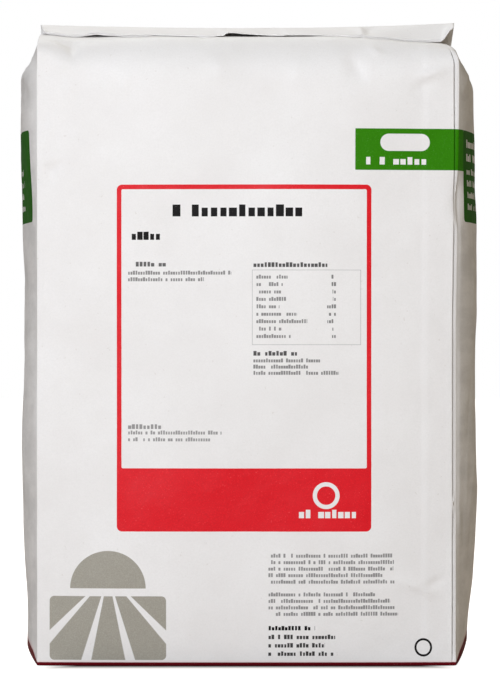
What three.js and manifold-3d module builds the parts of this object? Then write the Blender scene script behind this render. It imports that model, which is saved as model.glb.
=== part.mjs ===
// A filled ten-kilogram paper flour bag, standing upright, as one closed solid.
// It has a flat base whose side edges curl up a little, four panels that the flour pushes out between sharp
// vertical creases, a low gable that closes the top, a gusset fold in each end of the gable, and the glued
// closure strip that is folded forward along the ridge.
// Units are millimetres. X runs along the front panel, Y from front to back, and Z is up. The origin is the
// middle of the base, on the surface that the bag stands on.
import * as THREE from "three";
import { mergeVertices } from "three/addons/utils/BufferGeometryUtils.js";
import Module from "manifold-3d";

const { lerp, smoothstep } = THREE.MathUtils;

// The flat paper: distances between the vertical creases, and heights of the folds above the floor.
const PANEL_WIDTH = 270;
const PANEL_DEPTH = 140;
const FOLD_START_Z = 358;
const SHOULDER_Z = 393;
const SEAM_Z = 410;

const HALF_WIDTH = PANEL_WIDTH / 2;
const HALF_DEPTH = PANEL_DEPTH / 2;

// How far the flour pushes each panel out past the line between its creases.
const FRONT_BULGE = 10.5;
const BACK_BULGE = 10;
const BASE_EDGE_BULGE = 2;
const BULGE_RISE = 48;
const BULGE_FADE = 0.3;
const PANEL_CROWN_POWER = 2.4;
const SIDE_CROWN_POWER = 2.2;

// The left side is flatter across at its top than below.
const LEFT_TOP_CROWN_POWER = 4.5;
const TOP_CROWN_Z = [285, 365];

// The sides, from the base edge up: the bulge at the base, what it gains in the lower third, and what it
// gains or loses near the top.
const LEFT_BULGE = { base: 10.2, lowGain: 1.8, highGain: 0.5 };
const RIGHT_BULGE = { base: 8.5, lowGain: 6, highGain: -1 };
const LOW_GAIN_Z = [15, 110];
const HIGH_GAIN_Z = [240, 330];

// The base: how far the middle of each short edge curls up, and how far in the flat contact starts.
const LEFT_EDGE_LIFT = { height: 10.5, power: 1 };
const RIGHT_EDGE_LIFT = { height: 14.5, power: 1.3 };
const SIDE_CONTACT_INSET = 26;
const EDGE_ROUND = 3;
const EDGE_LIFT = 0.4;
const BASE_CURL_STEPS = 3;

// The right front crease stands a little in, leans further in towards the base and again at its very top, and
// the paper on both sides of it goes with it.
const CREASE_INSET = 0.3;
const CREASE_LEAN = 2.2;
const CREASE_LEAN_Z = [190, 390];
const CORNER_PULL = 2.7;
const CORNER_PULL_Z = [385, 397];
const LEAN_REACH_FRONT = 8;
const LEAN_REACH_SIDE = 90;

// The left side stands this much farther out.
const LEFT_OUT = 0.7;
const LEFT_OUT_X = [90, 130];

// The gable: the length over which the front and back panels turn in, at the creases and mid panel, how far
// its slopes are crowned, and how the ridge's ends differ from its middle.
const TURN_AT_CREASE = 7;
const TURN_AT_MIDDLE = 29;
const MIDDLE_SHOULDER_RISE = 8;
const LEFT_SHOULDER_RISE = 5.5;
const LEFT_RISE_FROM = [0.8, 1];
const SLOPE_CROWN = 1.6;
const SLOPE_START = 0.4;
const SEAM_LEFT_RISE = 1;
const SEAM_RIGHT_DROP = 5.5;
const SEAM_END_START = 0.55;
const SEAM_HALF_THICKNESS = 1.6;

// Slow unevenness of the filled panels, which dies out at their creases.
const WOBBLE = 0.8;
const WOBBLE_HEIGHT = 94;

// The gusset at each end of the gable: cheeks that fade out towards the ridge beside a valley that deepens,
// how far each side panel tucks in at the shoulder, and how far the gable's left end stands out and its right
// end in.
const GUSSET_DEPTH = 44;
const CHEEK_FADE = [0.35, 1.08];
const VALLEY_GROWTH = [0.4, 1];
const LEFT_TUCK = { depth: 10, rise: [374, 404], fall: [402, 418] };
const RIGHT_TUCK = { depth: 11, rise: [372, 399], fall: [393, 401] };
const LEFT_END_SPREAD = 0.8;
const LEFT_SPREAD_Z = [392, 411];
const RIGHT_END_PULL = 3;
const RIGHT_PULL_Z = [396, 403];

// The closure strip: the bag's mouth folded forward. Towards the right it leans further down, and its right
// corner curls up off the slope.
const STRIP_WIDTH = 26;
const STRIP_THICKNESS = 2.4;
const STRIP_RISE = 5;
const STRIP_LEFT_RISE = 2;
const STRIP_RIGHT_RISE = 3.2;
const STRIP_RISE_POWER = 2.2;
const STRIP_ANGLE = THREE.MathUtils.degToRad(16);
const STRIP_STEEP_ANGLE = THREE.MathUtils.degToRad(32);
const STRIP_CURL_ANGLE = THREE.MathUtils.degToRad(20);
const STRIP_STEEP_FROM = [0.4, 1.05];
const STRIP_CURL_FROM = [0.94, 1];
const STRIP_STATIONS = 50;
const STRIP_EDGE_STEPS = 4;
const STRIP_ROOT = 1.6;
const STRIP_ROOT_HALF = 1.15;

// How finely the skin is divided.
const WIDE_SEGMENTS = 24;
const NARROW_SEGMENTS = 16;
const BODY_RINGS = 20;
const GABLE_RINGS = 16;

// One panel of the bag: the direction it faces, the direction its s runs in, and its half sizes.
function panel(out, along, halfLength, halfDistance, segments, shape) {
  return { out, along, halfLength, halfDistance, segments, ...shape };
}

// The height of the ridge at the share x of the half width: it rises a little at the left end and drops at
// the right one.
function ridgeZ(x) {
  const change = x < 0 ? SEAM_LEFT_RISE : -SEAM_RIGHT_DROP;
  return SEAM_Z + change * smoothstep(Math.abs(x), SEAM_END_START, 1);
}

// The shoulder's height at the creases, at the share x of the half width: more at the left end.
function shoulderZ(x) {
  return SHOULDER_Z + LEFT_SHOULDER_RISE * smoothstep(-x, ...LEFT_RISE_FROM);
}

function wideBulge(most) {
  return (z) => {
    const risen = 1 - Math.exp(-z / BULGE_RISE);
    const faded = 1 - BULGE_FADE * (z / SHOULDER_Z) ** 2;
    return BASE_EDGE_BULGE + (most - BASE_EDGE_BULGE) * risen * faded;
  };
}

function sideBulge({ base, lowGain, highGain }) {
  return (z) => base + lowGain * smoothstep(z, ...LOW_GAIN_Z) + highGain * smoothstep(z, ...HIGH_GAIN_Z);
}

const PANELS = [
  panel([0, -1], [1, 0], HALF_WIDTH, HALF_DEPTH, WIDE_SEGMENTS, { bulge: wideBulge(FRONT_BULGE) }),
  panel([1, 0], [0, 1], HALF_DEPTH, HALF_WIDTH, NARROW_SEGMENTS, {
    bulge: sideBulge(RIGHT_BULGE),
    isSide: true,
    tuck: RIGHT_TUCK,
    lift: RIGHT_EDGE_LIFT,
  }),
  panel([0, 1], [-1, 0], HALF_WIDTH, HALF_DEPTH, WIDE_SEGMENTS, { bulge: wideBulge(BACK_BULGE) }),
  panel([-1, 0], [0, -1], HALF_DEPTH, HALF_WIDTH, NARROW_SEGMENTS, {
    bulge: sideBulge(LEFT_BULGE),
    isSide: true,
    tuck: LEFT_TUCK,
    lift: LEFT_EDGE_LIFT,
  }),
];

// How much of its bulge a panel has at s, which runs from -1 at one crease to 1 at the next. The left side
// is flatter at its top.
function crown({ isSide, out }, s, z) {
  const topPower = out[0] < 0 ? LEFT_TOP_CROWN_POWER : SIDE_CROWN_POWER;
  const sidePower = lerp(SIDE_CROWN_POWER, topPower, smoothstep(z, ...TOP_CROWN_Z));
  return 1 - Math.abs(s) ** (isSide ? sidePower : PANEL_CROWN_POWER);
}

function wobble({ isSide, out }, s, z) {
  const phase = out[0] + 2 * out[1];
  const across = (isSide ? 2.1 : 3.4) * s;
  const waves = Math.sin(across + z / WOBBLE_HEIGHT + phase) + Math.sin(across * 1.7 - z / 41 + 3 * phase);
  return WOBBLE * waves * (1 - s ** 4) * smoothstep(z, 0, 60);
}

// How far a panel stands out from the line between its creases.
function bulgeAt(side, s, z) {
  return side.bulge(z) * crown(side, s, z) + wobble(side, s, z);
}

// How far the lean of the right front crease moves a panel's point along X.
function leanAt({ out, halfLength }, s, z) {
  const lowLean = CREASE_LEAN * (1 - smoothstep(z, ...CREASE_LEAN_Z));
  const lean = CREASE_INSET + lowLean + CORNER_PULL * smoothstep(z, ...CORNER_PULL_Z);
  if (out[1] < 0) return -lean * ((1 + s) / 2) ** LEAN_REACH_FRONT;
  if (out[0] > 0) return -lean * Math.max(0, 1 - ((s + 1) * halfLength) / LEAN_REACH_SIDE) ** 2;
  return 0;
}

// How far the gable's left end is moved out and its right end in, at a panel's point.
function endShift({ out, along, isSide }, s, z) {
  const share = isSide ? out[0] : s * along[0];
  const left = LEFT_END_SPREAD * smoothstep(z, ...LEFT_SPREAD_Z);
  const right = RIGHT_END_PULL * smoothstep(z, ...RIGHT_PULL_Z);
  return -(Math.abs(share) ** LEAN_REACH_FRONT) * (share < 0 ? left : right);
}

// A point of a panel: its s, a distance along it from its middle, a distance out from the bag's axis, and a
// height.
function place(side, s, distanceAlong, distanceOut, z) {
  const { out, along } = side;
  const upright = along[0] * distanceAlong + out[0] * distanceOut;
  const leftOut = LEFT_OUT * smoothstep(-upright, ...LEFT_OUT_X);
  const x = upright - leftOut + leanAt(side, s, z) + endShift(side, s, z);
  return [x, along[1] * distanceAlong + out[1] * distanceOut, z];
}

// How high the panel's bottom edge stands off the floor.
function edgeLift({ lift }, s) {
  return EDGE_LIFT + (lift ? lift.height * (1 - s * s) ** lift.power : 0);
}

// The base from the flat contact (c = 0) out to the panel's bottom edge (c = 1).
function basePoint(side, s, c) {
  const inset = (side.isSide ? SIDE_CONTACT_INSET * (1 - s * s) : 0) + EDGE_ROUND;
  const edge = side.halfDistance + bulgeAt(side, s, 0);
  const shrink = 1 - (EDGE_ROUND / side.halfLength) * (1 - c);
  return place(side, s, s * side.halfLength * shrink, edge - inset * (1 - c), edgeLift(side, s) * c ** 1.6);
}

// The panel from its bottom edge (v = 0) up to where the top starts to turn in (v = 1).
function bodyPoint(side, s, v) {
  const z = lerp(edgeLift(side, s), FOLD_START_Z, v);
  return place(side, s, s * side.halfLength, side.halfDistance + bulgeAt(side, s, z), z);
}

// The gable's section: up, round an arc, and in along the slope to the ridge. It gives the distance from the
// ridge's plane and the height, at the share t of the way.
function foldPath(t, startDistance, shoulder, turnLength, endZ) {
  const upright = shoulder - FOLD_START_Z - turnLength;
  const run = startDistance - SEAM_HALF_THICKNESS;
  const rise = endZ - shoulder;
  const slope = Math.atan2(rise, run);
  const turn = Math.PI / 2 - slope;
  const radius = turnLength / Math.tan(turn / 2);
  const sloping = Math.hypot(run, rise) - turnLength;
  const travelled = t * (upright + radius * turn + sloping);
  if (travelled <= upright) return [startDistance, FOLD_START_Z + travelled];
  const angle = (travelled - upright) / radius;
  if (angle <= turn) {
    const centre = [startDistance - radius, FOLD_START_Z + upright];
    return [centre[0] + radius * Math.cos(angle), centre[1] + radius * Math.sin(angle)];
  }
  const left = sloping - (travelled - upright - radius * turn);
  return [SEAM_HALF_THICKNESS + left * Math.cos(slope), endZ - left * Math.sin(slope)];
}

// How far the gable's slopes stand up above a straight line, at the share t of the way to the ridge.
function slopeCrown(t) {
  return SLOPE_CROWN * Math.sin(Math.PI * Math.max(0, (t - SLOPE_START) / (1 - SLOPE_START)));
}

// The top of a panel, from where it starts to turn in (t = 0) to the ridge (t = 1).
function gablePoint(side, s, t) {
  if (!side.isSide) {
    const share = s * side.along[0];
    const fromCrease = 1 - share ** 4;
    const start = side.halfDistance + bulgeAt(side, s, FOLD_START_Z);
    const turn = lerp(TURN_AT_CREASE, TURN_AT_MIDDLE, fromCrease);
    const shoulder = shoulderZ(share) + MIDDLE_SHOULDER_RISE * fromCrease;
    const [distance, z] = foldPath(t, start, shoulder, turn, ridgeZ(share));
    return place(side, s, s * side.halfLength, distance, z + slopeCrown(t) * share ** 4);
  }
  const end = side.out[0];
  const [reach, z] = foldPath(t, HALF_DEPTH, shoulderZ(end), TURN_AT_CREASE, ridgeZ(end));
  const bulge = bulgeAt(side, s, FOLD_START_Z) * (1 - smoothstep(t, ...CHEEK_FADE));
  const { depth, rise, fall } = side.tuck;
  const tuck = depth * crown(side, s, FOLD_START_Z) * smoothstep(z, ...rise) * (1 - smoothstep(z, ...fall));
  const valley = GUSSET_DEPTH * smoothstep(t, ...VALLEY_GROWTH) * (1 - Math.abs(s)) ** 2;
  return place(side, s, s * reach, HALF_WIDTH + bulge - tuck - valley, z + slopeCrown(t));
}

// One closed ring round the bag, from a function of panel and s.
function ring(pointAt) {
  return PANELS.flatMap((side) =>
    Array.from({ length: side.segments }, (_, i) => pointAt(side, -1 + (2 * i) / side.segments)),
  );
}

function bagRings() {
  const rings = [];
  for (let i = 0; i < BASE_CURL_STEPS; i++) rings.push(ring((p, s) => basePoint(p, s, i / BASE_CURL_STEPS)));
  for (let i = 0; i < BODY_RINGS; i++) rings.push(ring((p, s) => bodyPoint(p, s, i / BODY_RINGS)));
  for (let i = 0; i <= GABLE_RINGS; i++) rings.push(ring((p, s) => gablePoint(p, s, i / GABLE_RINGS)));
  return rings;
}

// A closed geometry from rings of equal length, stacked from bottom to top, with a flat cap at each end.
// flatten maps a ring's point to the two coordinates that its caps are triangulated in.
function skin(rings, flatten) {
  const count = rings[0].length;
  const index = [];
  for (let r = 0; r + 1 < rings.length; r++) {
    for (let i = 0; i < count; i++) {
      const [a, b] = [r * count + i, r * count + ((i + 1) % count)];
      index.push(a, b, b + count, a, b + count, a + count);
    }
  }
  const capTriangles = (points) => {
    const outline = points.map((p) => new THREE.Vector2(...flatten(p)));
    return THREE.ShapeUtils.triangulateShape(outline, []);
  };
  const top = (rings.length - 1) * count;
  for (const [a, b, c] of capTriangles(rings[0])) index.push(c, b, a);
  for (const [a, b, c] of capTriangles(rings.at(-1))) index.push(top + a, top + b, top + c);
  const geometry = new THREE.BufferGeometry();
  geometry.setAttribute("position", new THREE.Float32BufferAttribute(rings.flat(2), 3));
  geometry.setIndex(index);
  return geometry;
}

// The closure strip's section at the share x of the half width, as a closed outline in the plane of Y and Z:
// up the back of the ridge, over the fold, down the strip's face, round its free edge and back underneath.
function stripSection(x) {
  const leaning = lerp(STRIP_ANGLE, STRIP_STEEP_ANGLE, smoothstep(x, ...STRIP_STEEP_FROM));
  const angle = leaning - STRIP_CURL_ANGLE * smoothstep(x, ...STRIP_CURL_FROM);
  const rootZ = ridgeZ(x) - STRIP_ROOT;
  const endRise = x < 0 ? STRIP_LEFT_RISE : STRIP_RIGHT_RISE;
  const foldZ = SEAM_Z + STRIP_RISE + endRise * Math.abs(x) ** STRIP_RISE_POWER;
  const forward = [-Math.cos(angle), -Math.sin(angle)];
  const upward = [Math.sin(angle) * -1, Math.cos(angle)];
  const alongStrip = (distance, lift) => [
    forward[0] * distance + upward[0] * lift,
    foldZ + forward[1] * distance + upward[1] * lift,
  ];
  const half = STRIP_THICKNESS / 2;
  const points = [
    [STRIP_ROOT_HALF, rootZ],
    [STRIP_ROOT_HALF, foldZ - STRIP_THICKNESS],
  ];
  for (let i = 0; i <= STRIP_EDGE_STEPS; i++) {
    const round = (i / STRIP_EDGE_STEPS) * (Math.PI / 2);
    points.push(alongStrip(half * (1 - Math.sin(round)) - half, -STRIP_THICKNESS * (1 - Math.sin(round))));
  }
  points.push(alongStrip(STRIP_WIDTH / 2, 0));
  for (let i = 0; i <= STRIP_EDGE_STEPS; i++) {
    const round = (i / STRIP_EDGE_STEPS) * Math.PI;
    points.push(alongStrip(STRIP_WIDTH - half * (1 - Math.sin(round)), -half * (1 - Math.cos(round))));
  }
  points.push(alongStrip(STRIP_WIDTH / 2, -STRIP_THICKNESS));
  points.push([-STRIP_ROOT_HALF, foldZ - STRIP_THICKNESS * 1.3]);
  points.push([-STRIP_ROOT_HALF, rootZ]);
  return points;
}

function stripGeometry() {
  const sections = Array.from({ length: STRIP_STATIONS + 1 }, (_, i) => {
    const x = -1 + (2 * i) / STRIP_STATIONS;
    return stripSection(x).map(([y, z]) => [x * HALF_WIDTH, y, z]);
  });
  return skin(sections, ([, y, z]) => [y, z]);
}

const wasm = await Module();
wasm.setup();

function solidOf(geometry) {
  const merged = mergeVertices(geometry);
  const mesh = new wasm.Mesh({
    numProp: 3,
    vertProperties: merged.attributes.position.array,
    triVerts: new Uint32Array(merged.index.array),
  });
  return new wasm.Manifold(mesh);
}

function geometryOf(solid) {
  const mesh = solid.getMesh();
  const geometry = new THREE.BufferGeometry();
  geometry.setAttribute("position", new THREE.BufferAttribute(mesh.vertProperties, 3));
  geometry.setIndex(new THREE.BufferAttribute(mesh.triVerts, 1));
  geometry.computeVertexNormals();
  return geometry;
}

const body = solidOf(skin(bagRings(), ([x, y]) => [x, y]));
const strip = solidOf(stripGeometry());

const paper = new THREE.MeshStandardMaterial({ color: 0xe9e6e2, roughness: 0.72, metalness: 0 });
const bag = new THREE.Mesh(geometryOf(body.add(strip)), paper);
bag.name = "flour_bag";

const model = new THREE.Group();
model.add(bag);

export default model;
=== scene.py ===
"""The looks of a filled paper flour bag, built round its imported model.

The bag's paper is one closed skin in place of the plain solid, and the folded mouth is four separate sheets.
Shapes are worked out in millimetres, in the model's frame: X runs along the front panel, Y from front to back
and Z is up, with the origin in the middle of the base. Objects are made in metres.
"""

import math

import bmesh
import bpy
import numpy as np
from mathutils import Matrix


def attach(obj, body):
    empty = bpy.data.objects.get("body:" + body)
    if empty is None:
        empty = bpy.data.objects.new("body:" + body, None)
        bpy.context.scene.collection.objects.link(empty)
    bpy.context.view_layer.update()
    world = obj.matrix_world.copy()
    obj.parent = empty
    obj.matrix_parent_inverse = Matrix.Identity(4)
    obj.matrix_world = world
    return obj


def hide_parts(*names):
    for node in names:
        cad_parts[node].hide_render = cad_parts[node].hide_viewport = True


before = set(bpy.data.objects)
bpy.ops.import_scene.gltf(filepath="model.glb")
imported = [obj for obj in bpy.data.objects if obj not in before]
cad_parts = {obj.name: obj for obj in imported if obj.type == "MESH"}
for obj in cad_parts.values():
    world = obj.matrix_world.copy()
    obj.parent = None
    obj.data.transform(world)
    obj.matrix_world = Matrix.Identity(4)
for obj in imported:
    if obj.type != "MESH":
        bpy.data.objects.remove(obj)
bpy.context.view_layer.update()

NODE = "flour_bag"
BODY = "root"
MM = 0.001

# The flat paper: distances between the vertical creases, and heights of the folds above the floor.
PANEL_WIDTH = 270
PANEL_DEPTH = 140
FOLD_START_Z = 358
SHOULDER_Z = 393
SEAM_Z = 410
HALF_WIDTH = PANEL_WIDTH / 2
HALF_DEPTH = PANEL_DEPTH / 2
GIRTH = 2 * (PANEL_WIDTH + PANEL_DEPTH)
HALF_GIRTH = GIRTH / 2

# How far the flour pushes each panel out past the line between its creases. A side's three numbers are its
# bulge at the base, what it gains in the lower third, and what it gains or loses near the top.
FRONT_BULGE = 10.5
BACK_BULGE = 10
BASE_EDGE_BULGE = 2
BULGE_RISE = 48
BULGE_FADE = 0.3
PANEL_CROWN_POWER = 2.4
SIDE_CROWN_POWER = 2.2
LEFT_TOP_CROWN_POWER = 4.5
TOP_CROWN_Z = (285, 365)
LEFT_BULGE = (10.2, 1.8, 0.5)
RIGHT_BULGE = (8.5, 6, -1)
LOW_GAIN_Z = (15, 110)
HIGH_GAIN_Z = (240, 330)

# The base: how far the middle of each short edge curls up, with the curl's power, and where contact starts.
LEFT_EDGE_LIFT = (10.5, 1)
RIGHT_EDGE_LIFT = (14.5, 1.3)
SIDE_CONTACT_INSET = 26
EDGE_ROUND = 3
EDGE_LIFT = 0.4

# The gable and the ridge that the folded mouth stands on.
TURN_AT_CREASE = 7
TURN_AT_MIDDLE = 29
MIDDLE_SHOULDER_RISE = 8
LEFT_SHOULDER_RISE = 5.5
LEFT_RISE_FROM = (0.8, 1)
SLOPE_CROWN = 1.6
SLOPE_START = 0.4
SEAM_END_RISES = (1, -5.5)
SEAM_END_START = 0.55
SEAM_HALF_THICKNESS = 1.6

# Slow unevenness of the filled panels, which dies out at their creases.
WOBBLE = 0.8
WOBBLE_HEIGHTS = (94, 41)
WOBBLE_WIDE, WOBBLE_SIDE = 3.4, 2.1

# The gusset at each end of the gable, the tuck of each side panel (depth, and heights at which it starts and
# ends), and how far the gable's left end stands out and its right end in.
GUSSET_DEPTH = 44
CHEEK_FADE = (0.35, 1.08)
VALLEY_GROWTH = (0.4, 1)
LEFT_TUCK = (10, (374, 404), (402, 418))
RIGHT_TUCK = (11, (372, 399), (393, 401))
LEFT_END_SPREAD = 0.8
LEFT_SPREAD_Z = (392, 411)
RIGHT_END_PULL = 3
RIGHT_PULL_Z = (396, 403)

# How finely the skin is divided: the usual step, the columns beside every crease, the rows of the base's curl
# and of its flat, and the length of the gable's paper.
STEP = 2.1
CREASE_COLUMNS = (0, 0.45, 1.1, 1.9, 2.8, 3.9, 4.15, 4.35, 4.8, 5.5, 6.6, 8)
CURL_ROWS = 6
BASE_ROWS = 24
GABLE_LENGTH = 105

# The glued lap beside the front's right crease: the outer ply stops short of the crease, over an inner flap.
# The column that follows the ply's edge starts at PLY_COLUMN from the crease. The crease is BAND_TILT back,
# and the ply is closed at two heights, each with its reach.
PLY_COLUMN = 4.25
PLY_EDGE_LOW, PLY_EDGE_HIGH = 2.65, 3.5
PLY_EDGE_Z = (310, 385)
PLY_GROOVE_DEPTH = 1.5
PLY_GROOVE_WIDTH = 0.4
PLY_GROOVE_TOP_Z = (380, 396)
BAND_TILT = 1.1
PLY_CLOSED_AT = ((290, 9), (104, 5))
FLAP_EDGE_X = 112.7
FLAP_STEP = 0.5

# The right front crease leans in towards the base and again at its very top, with the paper on both sides.
CREASE_INSET = 0.3
CREASE_LEAN = 2.2
CREASE_LEAN_Z = (190, 390)
CORNER_PULL = 2.7
CORNER_PULL_Z = (385, 397)
LEAN_REACH_FRONT = 8
LEAN_REACH_SIDE = 90

# The left side stands this much farther out.
LEFT_OUT = 0.7
LEFT_OUT_X = (90, 130)

SEED = 20


def smoothstep(value, low, high):
    share = np.clip((value - low) / (high - low), 0.0, 1.0)
    return share * share * (3 - 2 * share)


def lerp(start, end, share):
    return start + (end - start) * share


# The bag's shape

def ridge_z(x):
    """The ridge's height at the share x of the half width, which rises on the left and drops on the right."""
    return SEAM_Z + np.where(np.asarray(x) < 0, *SEAM_END_RISES) * smoothstep(np.abs(x), SEAM_END_START, 1)


def shoulder_z(x):
    """The shoulder's height at the creases, at the share x of the half width."""
    return SHOULDER_Z + LEFT_SHOULDER_RISE * smoothstep(-np.asarray(x), *LEFT_RISE_FROM)


def slope_crown(t):
    """How far the gable's slopes stand above a straight line, at the share t of the way up."""
    return SLOPE_CROWN * np.sin(np.pi * np.clip((t - SLOPE_START) / (1 - SLOPE_START), 0, 1))


def fold_path(t, start, shoulder, turn_length, end_z):
    """The gable's section: up, round an arc, and in along the slope to the ridge.

    Gives the distance from the ridge's plane, the height and the length travelled, at the share t of the way.
    """
    upright = shoulder - FOLD_START_Z - turn_length
    run = start - SEAM_HALF_THICKNESS
    rise = end_z - shoulder
    slope = np.arctan2(rise, run)
    turn = math.pi / 2 - slope
    radius = turn_length / np.tan(turn / 2)
    arc = radius * turn
    travelled = t * (upright + arc + np.hypot(run, rise) - turn_length)
    angle = np.clip((travelled - upright) / radius, 0, turn)
    beyond = np.clip(travelled - upright - arc, 0, None)
    distance = start - radius * (1 - np.cos(angle)) - beyond * np.cos(slope)
    z = FOLD_START_Z + np.minimum(travelled, upright) + radius * np.sin(angle) + beyond * np.sin(slope)
    return distance, z, travelled


class Panel:
    """One panel, of twice the length half, away from the bag's axis. s runs from -1 to 1 along it."""

    def __init__(self, out, first_u, bulges, tuck=None, lift=(0, 1)):
        self.out, self.along = np.array(out), np.array((-out[1], out[0]))
        self.first_u, self.bulges, self.tuck = first_u, bulges, tuck
        self.is_side = tuck is not None
        self.half, self.away = (HALF_DEPTH, HALF_WIDTH) if self.is_side else (HALF_WIDTH, HALF_DEPTH)
        self.top_power = LEFT_TOP_CROWN_POWER if self.is_side and out[0] < 0 else SIDE_CROWN_POWER
        self.s = self.columns()
        self.middle = 1 - self.s**2
        self.lift = EDGE_LIFT + lift[0] * self.middle ** lift[1]

    def columns(self):
        """The columns' places from the first crease on. The last crease belongs to the next panel."""
        beside = np.array(CREASE_COLUMNS)
        first = beside[-1] - self.half
        count = round(-2 * first / STEP)
        across = np.linspace(first, -first, count + 1)[1:-1]
        at = np.concatenate([beside - self.half, across, (self.half - beside)[:0:-1]])
        return at / self.half

    def crown_at(self, z):
        """The share of the bulge that each column has at a height."""
        power = PANEL_CROWN_POWER
        if self.is_side:
            power = lerp(SIDE_CROWN_POWER, self.top_power, smoothstep(z, *TOP_CROWN_Z))
        return 1 - np.abs(self.s) ** power

    def bulge(self, z):
        """How far the panel's middle stands out at a height."""
        if self.is_side:
            base, low_gain, high_gain = self.bulges
            return base + low_gain * smoothstep(z, *LOW_GAIN_Z) + high_gain * smoothstep(z, *HIGH_GAIN_Z)
        risen = 1 - np.exp(-z / BULGE_RISE)
        faded = 1 - BULGE_FADE * (z / SHOULDER_Z) ** 2
        return BASE_EDGE_BULGE + (self.bulges - BASE_EDGE_BULGE) * risen * faded

    def wobble(self, s, z):
        phase = self.out[0] + 2 * self.out[1]
        across = (WOBBLE_SIDE if self.is_side else WOBBLE_WIDE) * s
        slow, quick = WOBBLE_HEIGHTS
        waves = np.sin(across + z / slow + phase) + np.sin(across * 1.7 - z / quick + 3 * phase)
        return WOBBLE * waves * (1 - s**4) * smoothstep(z, 0, 60)

    def bulge_at(self, z):
        return self.bulge(z) * self.crown_at(z) + self.wobble(self.s, z)

    def place(self, distance_along, distance_out, z):
        """Points from distances along the panel and out from the bag's axis, and heights."""
        distance_along, distance_out, z = np.broadcast_arrays(distance_along, distance_out, z)
        flat = distance_along[..., None] * self.along + distance_out[..., None] * self.out
        return np.concatenate([flat, z[..., None]], axis=-1)

    def base_rows(self, c):
        """From the flat contact (c = 0) out to the bottom edge (c = 1)."""
        inset = (SIDE_CONTACT_INSET * self.middle if self.is_side else 0) + EDGE_ROUND
        edge = self.away + self.bulge_at(0.0)
        shrink = 1 - (EDGE_ROUND / self.half) * (1 - c)
        points = self.place(self.s * self.half * shrink, edge - inset * (1 - c), self.lift * c**1.6)
        inwards = -inset * (1 - c) + 0 * self.s
        return points, inwards, self.lift * c + inwards

    def body_rows(self, v):
        """From the bottom edge (v = 0) up to where the top starts to turn in (v = 1)."""
        z = lerp(self.lift, FOLD_START_Z, v) + 0 * self.s
        points = self.place(self.s * self.half, self.away + self.bulge_at(z), z)
        return points, z - self.lift, z

    def gable_rows(self, t):
        """From where the panel starts to turn in (t = 0) to the ridge (t = 1)."""
        bulge = self.bulge_at(FOLD_START_Z)
        if self.is_side:
            end_z = ridge_z(self.out[0])
            shoulder = shoulder_z(self.out[0])
            reach, z, travelled = fold_path(t, HALF_DEPTH, shoulder, TURN_AT_CREASE, end_z)
            depth, rise, fall = self.tuck
            tuck = depth * self.crown_at(FOLD_START_Z) * smoothstep(z, *rise) * (1 - smoothstep(z, *fall))
            cheek = bulge * (1 - smoothstep(t, *CHEEK_FADE)) - tuck
            valley = GUSSET_DEPTH * smoothstep(t, *VALLEY_GROWTH) * (1 - np.abs(self.s)) ** 2
            z, travelled = z + 0 * self.s, travelled + 0 * self.s
            points = self.place(self.s * reach, HALF_WIDTH + cheek - valley, z + slope_crown(t))
        else:
            share = self.s * self.along[0]
            from_crease = 1 - share**4
            turn = lerp(TURN_AT_CREASE, TURN_AT_MIDDLE, from_crease)
            shoulder = shoulder_z(share) + MIDDLE_SHOULDER_RISE * from_crease
            end_z = ridge_z(share)
            distance, z, travelled = fold_path(t, self.away + bulge, shoulder, turn, end_z)
            points = self.place(self.s * self.half, distance, z + slope_crown(t) * share**4)
        return points, FOLD_START_Z + travelled, FOLD_START_Z + travelled

    def grid(self):
        """All rows up to the ridge: points, lengths from the bottom edge, and heights v."""
        curl = np.arange(CURL_ROWS)[:, None] / CURL_ROWS
        body_count = round(FOLD_START_Z / STEP)
        body = np.arange(body_count)[:, None] / body_count
        gable_count = round(GABLE_LENGTH / STEP)
        gable = np.arange(gable_count + 1)[:, None] / gable_count
        parts = [self.base_rows(curl), self.body_rows(body), self.gable_rows(gable)]
        return [np.concatenate(rows) for rows in zip(*parts)]

    def u(self):
        return self.first_u + (self.s + 1) * self.half


FRONT_U, RIGHT_U, BACK_U, LEFT_U = -HALF_WIDTH, HALF_WIDTH, HALF_WIDTH + PANEL_DEPTH, HALF_WIDTH + HALF_GIRTH
PANELS = [
    Panel((0, -1), FRONT_U, FRONT_BULGE),
    Panel((1, 0), RIGHT_U, RIGHT_BULGE, RIGHT_TUCK, RIGHT_EDGE_LIFT),
    Panel((0, 1), BACK_U, BACK_BULGE),
    Panel((-1, 0), LEFT_U, LEFT_BULGE, LEFT_TUCK, LEFT_EDGE_LIFT),
]


# The paper's relief

# The height and size of each layer of smooth noise. Then sets of small random creases: number, places up the
# paper, lengths, heights, flanks, how far each may turn away from upright, and places round the bag.
NOISE_LAYERS = ((0.55, 74), (0.32, 31), (0.10, 13), (0.03, 6))
CREASE_SETS = (
    (150, (0, 470), (20, 70), (0.05, 0.22), (3, 9), 70),
    (110, (330, 470), (10, 36), (0.08, 0.4), (1.5, 4), 80),
    (60, (0, 60), (10, 34), (0.05, 0.28), (1.5, 4), 80),
    (60, (20, 380), (30, 110), (0.2, 0.7), (2.2, 6), 24, (143, 267)),
    (60, (20, 380), (30, 110), (0.2, 0.7), (2.2, 6), 24, (553, 677)),
)

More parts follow.
